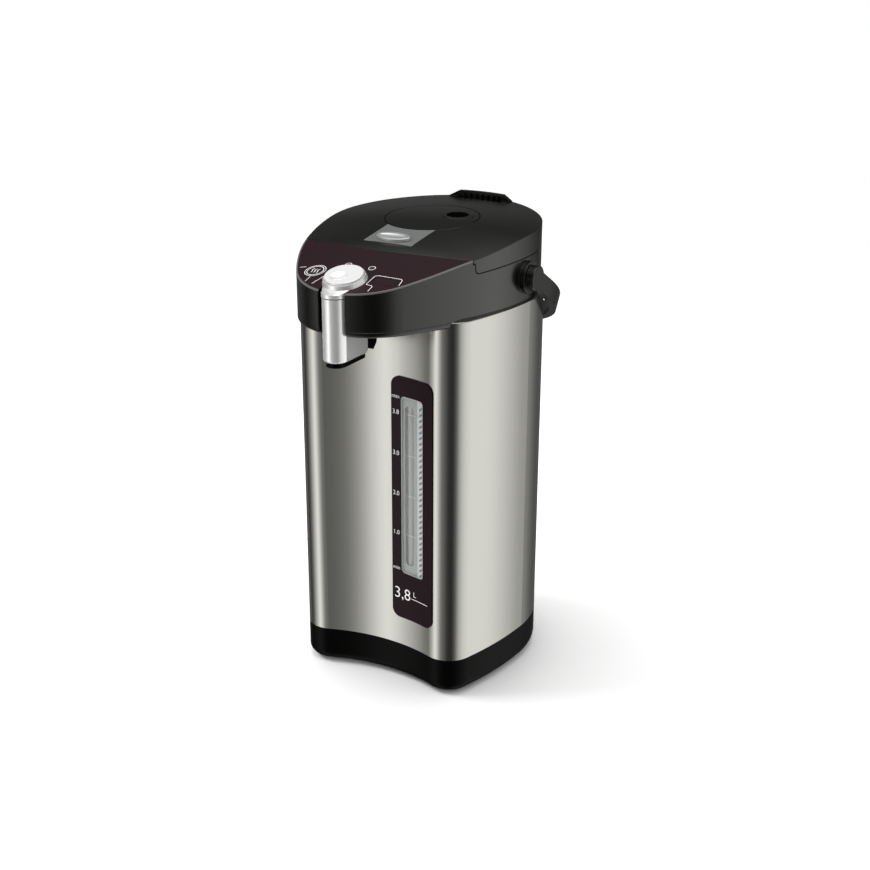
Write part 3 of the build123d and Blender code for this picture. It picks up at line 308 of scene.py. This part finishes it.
def row_of_bars(name, node, x, low, pitch, count, bar_size, slant, made):
    """Small printed bars, in mm, at even heights on a front surface, by Geometry Nodes."""
    start = Vector((x * MM, -1, low * MM))
    spot, outward = skin_of(node).ray_cast(start, Vector((0, 1, 0)))[:2]
    outward *= math.copysign(1, -outward.y)
    bearing = math.atan2(outward.x, -outward.y)
    wanted = {
        "Start": ("NodeSocketVector", spot),
        "Step": ("NodeSocketVector", (0, 0, pitch * MM)),
        "Count": ("NodeSocketInt", count),
        "Bar": ("NodeSocketVector", tuple(side * MM for side in bar_size)),
        "Turn": ("NodeSocketVector", (0, slant, bearing)),
        "Ink": ("NodeSocketMaterial", made),
    }
    rule = bpy.data.node_groups.new(name + "_rule", "GeometryNodeTree")
    rule.interface.new_socket(name="Geometry", in_out="OUTPUT", socket_type="NodeSocketGeometry")
    for label, (kind, _) in wanted.items():
        rule.interface.new_socket(name=label, in_out="INPUT", socket_type=kind)
    given = rule.nodes.new("NodeGroupInput")
    heights = rule.nodes.new("GeometryNodeMeshLine")
    bar = rule.nodes.new("GeometryNodeMeshCube")
    placed = rule.nodes.new("GeometryNodeInstanceOnPoints")
    real = rule.nodes.new("GeometryNodeRealizeInstances")
    inked = rule.nodes.new("GeometryNodeSetMaterial")
    out = rule.nodes.new("NodeGroupOutput")
    rule.links.new(given.outputs["Count"], heights.inputs["Count"])
    rule.links.new(given.outputs["Start"], heights.inputs["Start Location"])
    rule.links.new(given.outputs["Step"], heights.inputs["Offset"])
    rule.links.new(given.outputs["Bar"], bar.inputs["Size"])
    rule.links.new(given.outputs["Turn"], placed.inputs["Rotation"])
    rule.links.new(heights.outputs["Mesh"], placed.inputs["Points"])
    rule.links.new(bar.outputs["Mesh"], placed.inputs["Instance"])
    rule.links.new(placed.outputs["Instances"], real.inputs["Geometry"])
    rule.links.new(real.outputs["Geometry"], inked.inputs["Geometry"])
    rule.links.new(given.outputs["Ink"], inked.inputs["Material"])
    rule.links.new(inked.outputs["Geometry"], out.inputs["Geometry"])
    piece = bpy.data.objects.new(name, bpy.data.meshes.new(name))
    bpy.context.collection.objects.link(piece)
    bars = piece.modifiers.new("bars", "NODES")
    bars.node_group = rule
    for item in rule.interface.items_tree:
        if item.in_out == "INPUT":
            bars[item.identifier] = wanted[item.name][1]
    ready = piece.evaluated_get(bpy.context.evaluated_depsgraph_get())
    plain_mesh = bpy.data.meshes.new_from_object(ready)
    piece.modifiers.remove(bars)
    piece.data = plain_mesh
    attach(piece, "housing")


dash_ink = finish_of("dash_ink", (0.09, 0.14, 0.18), 0.5)[0]
row_of_bars(
    "gauge_dashes",
    "gauge_strip",
    x=41.4,
    low=107.0,
    pitch=5.0,
    count=31,
    bar_size=(5.2, 0.12, 1.7),
    slant=-math.atan(0.8),
    made=dash_ink,
)

# ---------------------------------------------------------------- window lens
# A clear acrylic lens lies in the frame, a little below its face. A faint printed line runs round
# its edge, and a level mark crosses it at each number.
clear, tree, shader = finish_of("clear_lens", (0.34, 0.36, 0.34), 0.06)
shader.inputs["Alpha"].default_value = 0.17
paint(clear, "window_lens")

faint_ink = finish_of("faint_ink", (0.38, 0.4, 0.385), 0.5)[0]
row_of_bars(
    "level_marks",
    "window_lens",
    x=30.0,
    low=141.1,
    pitch=36.25,
    count=4,
    bar_size=(11.0, 0.3, 0.4),
    slant=0.0,
    made=faint_ink,
)


def rounded(points, radius, closed=False, steps=6):
    """A run of straight lines in a plane with its corners rounded."""
    points = [Vector(point) for point in points]
    count = len(points)
    out = []
    for i, point in enumerate(points):
        if not closed and i in (0, count - 1):
            out.append(point)
            continue
        back = points[i - 1] - point
        ahead = points[(i + 1) % count] - point
        cut = min(radius, back.length / 2, ahead.length / 2)
        start = point + back.normalized() * cut
        end = point + ahead.normalized() * cut
        for step in range(steps + 1):
            t = step / steps
            out.append(start * (1 - t) ** 2 + point * (2 * t * (1 - t)) + end * t**2)
    return out


lens_corners = [(20.8, 104.7), (43.8, 104.7), (43.8, 263.8), (20.8, 263.8)]
lens_line = ribbon(rounded(lens_corners, radius=4.5, closed=True), 0.5, closed=True)
printed("lens_edge", [lens_line], "window_lens", True, faint_ink)

# ---------------------------------------------------------------- head housing and nose
# The head carries the lid, the spout and the controls. Its housing and the nose cover below it are
# polished black ABS straight from the mould. The deck that closes it on top is plain black.
gloss, tree, shader = finish_of("black_gloss", (0.002, 0.002, 0.0016), 0.2)
grain(tree, shader, scale=900.0, low=0.18, high=0.24, strength=0.05)
shader.inputs["Specular IOR Level"].default_value = 0.95
shader.inputs["Specular Tint"].default_value = (1.0, 1.0, 0.94, 1.0)
soften(tree, shader, 0.0008)
paint(gloss, "collar", "nose_cover")
paint(base, "control_deck")

# ---------------------------------------------------------------- control panel
# A plum film is glued on the sloping deck inside a thin grey trim, and two dark lamp lenses come
# through it. White lines are printed round the lamps and keys.
trim = finish_of("trim_grey", (0.12, 0.12, 0.12), 0.25, 0.3)[0]
lamp = finish_of("lamp_lens", (0.03, 0.012, 0.014), 0.15)[0]
paint(film, "panel_film")
paint(trim, "panel_trim")
paint(lamp, "led_lenses")


def circle(x, y, radius, count=48):
    """Points of a printed ring."""
    turns = [math.tau * i / count for i in range(count)]
    return [(x + radius * math.cos(turn), y + radius * math.sin(turn)) for turn in turns]


PANEL_LINE = 0.45
LAMP_LINE = 0.4
LAMP_RING = 2.75
LAMP_X = 11.0
LAMP_Y = -116.0
flats = []
for x in (-LAMP_X, LAMP_X):
    flats.append(ribbon(circle(x, LAMP_Y, LAMP_RING, 32), LAMP_LINE, closed=True))
key_roof = [(20.1, -139.6), (20.1, -125.0), (44.0, -123.9), (45.4, -133.0)]
key_step = [(20.1, -139.6), (26.6, -140.4), (27.0, -148.2)]
flats.append(ribbon(rounded(key_roof, radius=3.0), PANEL_LINE))
flats.append(ribbon(rounded(key_step, radius=1.6), PANEL_LINE))
for stroke in (
    [(-49.6, -127.4), (-47.2, -126.4), (-44.6, -125.4)],
    [(-31.2, -147.0), (-31.2, -143.2), (-31.2, -139.9)],
    [(-23.4, -149.4), (-21.8, -143.0), (-20.3, -137.0)],
):
    flats.append(ribbon(stroke, PANEL_LINE))
printed("panel_lines", flats, "panel_film", False, ink)

# ---------------------------------------------------------------- the two keys
# A round and an oblong key, faced with the same plum film, press on the switches below them. The
# round one is printed with a ring and three strokes of steam, inside a ring on its edge.
paint(film, "ring_key", "bar_key")

RING_X = -32.9
RING_Y = -130.1
INNER_RING = 6.8
OUTER_RING = 8.5
STEAM_FOOT = -133.2
STEAM_STEP = 0.75
STEAM_SWAY = 0.5
STEAM_GAP = 2.6
flats = [ribbon(circle(RING_X, RING_Y, INNER_RING), 0.5, closed=True)]
flats.append(ribbon(circle(RING_X, RING_Y, OUTER_RING), 0.45, closed=True))
for aside in (-STEAM_GAP, 0.0, STEAM_GAP):
    wave = []
    for i in range(9):
        wave.append((RING_X + aside + STEAM_SWAY * math.sin(i * 0.9), STEAM_FOOT + i * STEAM_STEP))
    flats.append(ribbon(wave, 0.5))
printed("round_key_print", flats, "ring_key", False, ink, "round_key")

# ---------------------------------------------------------------- spout and pour knob
# The spout's cover and head are plastic plated in satin chrome, with a black nozzle below and a black
# ring between them. The round knob on top is lacquered silver, with a dimple for the finger.
chrome, tree, shader = finish_of("satin_chrome", (0.92, 0.92, 0.91), 0.17, 0.72)
soften(tree, shader, 0.0004)
silver, tree, shader = finish_of("silver_lacquer", (0.84, 0.84, 0.84), 0.22, 0.5)
soften(tree, shader, 0.0005)
paint(chrome, "spout_cover", "spout_head")
paint(base, "spout_nozzle", "neck_ring")
paint(silver, "pour_knob")

# ---------------------------------------------------------------- cup lever
# A black plastic lever hangs behind the nozzle on its own two pins. A cup pushed against its foot
# closes the switch behind it.
paint(base, "cup_lever")

# ---------------------------------------------------------------- lid
# The lid is a polished black ABS shell over a plain black tub. A steel dish, a silicone seal and a
# white air valve close the pot. It turns on a steel pin, and the ribbed grip behind frees it.
paint(gloss, "lid_shell", "release_grip")
paint(base, "lid_liner")
paint(satin, "inner_lid", "hinge_pin")
paint(silicone, "lid_seal")
paint(white, "air_valve")

# ---------------------------------------------------------------- lid latch
# A plate lacquered grey with a fine check is let into the front of the lid. A silver finger tab
# slides in it against a steel spring. A bright silver line round the plate's edge is a painted
# highlight.
CHECK_SIZE = 900.0  # fields to the metre
lacquer, tree, shader = finish_of("grey_lacquer", (0.2, 0.2, 0.2), 0.3, 0.6)
grain(tree, shader, scale=2400.0, low=0.3, high=0.4)
soften(tree, shader, 0.0006)
place = add(tree, "ShaderNodeTexCoord")
fields = {"Color1": (0.15, 0.155, 0.155, 1.0), "Color2": (0.27, 0.28, 0.28, 1.0), "Scale": CHECK_SIZE}
check = add(tree, "ShaderNodeTexChecker", fields)
tree.links.new(place.outputs["Object"], check.inputs["Vector"])
tree.links.new(check.outputs["Color"], shader.inputs["Base Color"])
paint(lacquer, "latch_plate")

tab, tree, shader = finish_of("tab_silver", (0.72, 0.72, 0.72), 0.18, 0.8)
soften(tree, shader, 0.0005)
paint(tab, "latch_slider")
paint(satin, "latch_spring")

# Painted highlight: a bright silver line, in the tab's material, laid along the plate's edge where
# light catches it.
plate_highlight_line = ribbon([(-21.9, -37.6), (-21.9, -74.0), (21.9, -74.0), (21.9, -37.6)], 0.5)
printed("plate_edge_highlight", [plate_highlight_line], "latch_plate", False, tab, "lid")

# ---------------------------------------------------------------- hand pump
# A round black plate is pushed down to pump by hand. The steam vent in it has a polished rim.
# A thin black ring laid in the joint round the plate is painted shade.
paint(gloss, "pump_plate")
polish, tree, shader = finish_of("vent_polish", (0.002, 0.002, 0.002), 0.08)
shader.inputs["Specular IOR Level"].default_value = 0.95
soften(tree, shader, 0.0006)
paint(polish, "vent_rim")

PUMP_Y = -1.9
# Painted shade: a thin black ring of the base plastic, laid in the joint round the pump plate.
JOINT_RADIUS = 39.75
SHADE_LINE_WIDTH = 0.8
joint_shade_ring = ribbon(circle(0.0, PUMP_Y, JOINT_RADIUS, 96), SHADE_LINE_WIDTH, closed=True)
printed("pump_joint_shade", [joint_shade_ring], "pump_plate", False, base, "hand_pump")

# ---------------------------------------------------------------- bellows and pump spring
# Moulded silicone bellows under the plate pump the air, and a steel coil spring lifts the plate
# again. Both stand on the lid's tub. Each is drawn as a copy that rides with the lid, and its CAD
# node is hidden.
paint(silicone, "pump_bellows")
paint(satin, "pump_spring")
for name, slot in (("pump_bellows", "silicone"), ("pump_spring", "steel_pin")):
    soft = bpy.data.objects.new(name + "_soft", nodes[name].data.copy())
    bpy.context.collection.objects.link(soft)
    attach(soft, "lid")
    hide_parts(name)
    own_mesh(soft)

# ---------------------------------------------------------------- handle
# A moulded black bail swings on two ears at the sides of the head and hangs behind the pot. Each of
# its ends turns on a steel pin.
paint(gloss, "handle_bail", "handle_ears")
paint(satin, "handle_pins")

# ---------------------------------------------------------------- table top
# A round pale table top of matt paper stands under the pot and fades into the white behind it.
# Shiny surfaces don't mirror it.
TABLE_RADIUS = 1.75
TABLE_CORNERS = 96
paper = finish_of("table_paper", (0.85, 0.845, 0.845), 0.8)[0]
sheet = bpy.data.meshes.new("table_top")
sheet_rim = [(x, y, 0) for x, y in circle(0.0, 0.0, TABLE_RADIUS, TABLE_CORNERS)]
sheet.from_pydata(sheet_rim, [], [tuple(range(TABLE_CORNERS))])
sheet.materials.append(paper)
table = bpy.data.objects.new("table_top", sheet)
bpy.context.collection.objects.link(table)
table.visible_glossy = False

# ---------------------------------------------------------------- studio walls and ceiling
# The room gives bare white light from all round. Soft boxes and dark flags, made of white cloth and
# black card, show only in shiny surfaces: round the walls, and on the ceiling above them.
WALL_STOPS = [  # degrees from the front (-Y) towards the right (+X), and brightness
    (-180, 0.08), (-157, 0.12), (-103, 0.12), (-86, 0.02), (-68, 0.2), (-58, 0.5),
    (-48, 0.75), (-35, 1.2), (-25, 0.8), (-16, 0.42), (-7, 0.2), (3, 0.14),
    (21, 0.03), (40, 0.01), (56, 0.12), (74, 0.58), (94, 0.84), (112, 0.95),
    (127, 1.05), (138, 0.7), (146, 0.43), (154, 0.24), (170, 0.1), (180, 0.08),
]
CEILING_STOPS = [  # sine of the height, and brightness
    (0.0, 0.1), (0.42, 0.04), (0.56, 0.08), (0.66, 0.4), (0.78, 0.5), (0.9, 1.3), (1.0, 1.5),
]
CEILING_FROM = 0.05
CEILING_FULL = 0.38
world = bpy.data.worlds.new("studio")
world.use_nodes = True
tree = world.node_tree
bare = tree.nodes["Background"]
bare.inputs["Color"].default_value = (1.0, 1.0, 1.0, 1.0)
bare.inputs["Strength"].default_value = 1.0
place = add(tree, "ShaderNodeTexCoord")
split = add(tree, "ShaderNodeSeparateXYZ")
front = add(tree, "ShaderNodeMath", {1: -1.0}, operation="MULTIPLY")
bearing = add(tree, "ShaderNodeMath", operation="ARCTAN2")
share = add(tree, "ShaderNodeMath", {1: 1 / math.tau, 2: 0.5}, operation="MULTIPLY_ADD")
walls = add(tree, "ShaderNodeValToRGB")
ceiling = add(tree, "ShaderNodeValToRGB")
climb = add(tree, "ShaderNodeMapRange", {"From Min": CEILING_FROM, "From Max": CEILING_FULL})
room = add(tree, "ShaderNodeMix", data_type="RGBA")
shine = add(tree, "ShaderNodeBackground", {"Strength": 1.0})
path = add(tree, "ShaderNodeLightPath")
choose = add(tree, "ShaderNodeMixShader")
for ramp, stops in (
    (walls, [(degrees / 360 + 0.5, level) for degrees, level in WALL_STOPS]),
    (ceiling, CEILING_STOPS),
):
    marks = ramp.color_ramp.elements
    for mark, (position, level) in ((marks[0], stops[0]), (marks[1], stops[-1])):
        mark.position = position
        mark.color = (level, level, level, 1.0)
    for position, level in stops[1:-1]:
        marks.new(position).color = (level, level, level, 1.0)
tree.links.new(place.outputs["Generated"], split.inputs["Vector"])
tree.links.new(split.outputs["Y"], front.inputs[0])
tree.links.new(split.outputs["X"], bearing.inputs[0])
tree.links.new(front.outputs["Value"], bearing.inputs[1])
tree.links.new(bearing.outputs["Value"], share.inputs[0])
tree.links.new(share.outputs["Value"], walls.inputs["Fac"])
tree.links.new(split.outputs["Z"], ceiling.inputs["Fac"])
tree.links.new(split.outputs["Z"], climb.inputs["Value"])
tree.links.new(climb.outputs["Result"], room.inputs["Factor"])
tree.links.new(walls.outputs["Color"], room.inputs["A"])
tree.links.new(ceiling.outputs["Color"], room.inputs["B"])
tree.links.new(room.outputs["Result"], shine.inputs["Color"])
tree.links.new(path.outputs["Is Glossy Ray"], choose.inputs["Fac"])
tree.links.new(bare.outputs["Background"], choose.inputs[1])
tree.links.new(shine.outputs["Background"], choose.inputs[2])
tree.links.new(choose.outputs["Shader"], tree.nodes["World Output"].inputs["Surface"])
bpy.context.scene.world = world


# ---------------------------------------------------------------- lamps
# Two square soft boxes of white cloth, one high on the left in front and one overhead. They throw
# the soft shadow to the right and are not mirrored in the pot.
def softbox(name, spot, target, side, power):
    """A large soft square lamp that faces the target."""
    data = bpy.data.lights.new(name, "AREA")
    data.shape = "RECTANGLE"
    data.size = side
    data.size_y = side
    data.energy = power
    held = bpy.data.objects.new(name, data)
    held.location = spot
    held.rotation_euler = (Vector(target) - Vector(spot)).to_track_quat("-Z", "Y").to_euler()
    held.visible_glossy = False
    held.visible_camera = False
    bpy.context.collection.objects.link(held)


softbox("key_left", spot=(-1.5, -0.7, 1.7), target=(0, 0, 0.2), side=0.9, power=30)
softbox("top_soft", spot=(-0.2, 0.2, 2.2), target=(0, 0, 0.3), side=1.2, power=22)

# ---------------------------------------------------------------- camera
# It stands off the front right edge, well above the pot, and looks down at the middle of its front.
# The lens is long, and shifted so that the whole pot and its shadow are in the picture.
STAND = Vector((0.6252, -1.0969 + AXIS_Y, 0.6645))
LOOK_AT = Vector((0.0, -0.018 + AXIS_Y, 0.153))
view = bpy.data.cameras.new("table_view")
view.sensor_width = 36.0
view.lens = 62.48
view.shift_x = 0.01407
view.shift_y = 0.0611
camera = bpy.data.objects.new("table_view", view)
camera.location = STAND
camera.rotation_euler = (LOOK_AT - STAND).to_track_quat("-Z", "Y").to_euler()
bpy.context.collection.objects.link(camera)
bpy.context.scene.camera = camera
bpy.context.scene.view_settings.view_transform = "Standard"
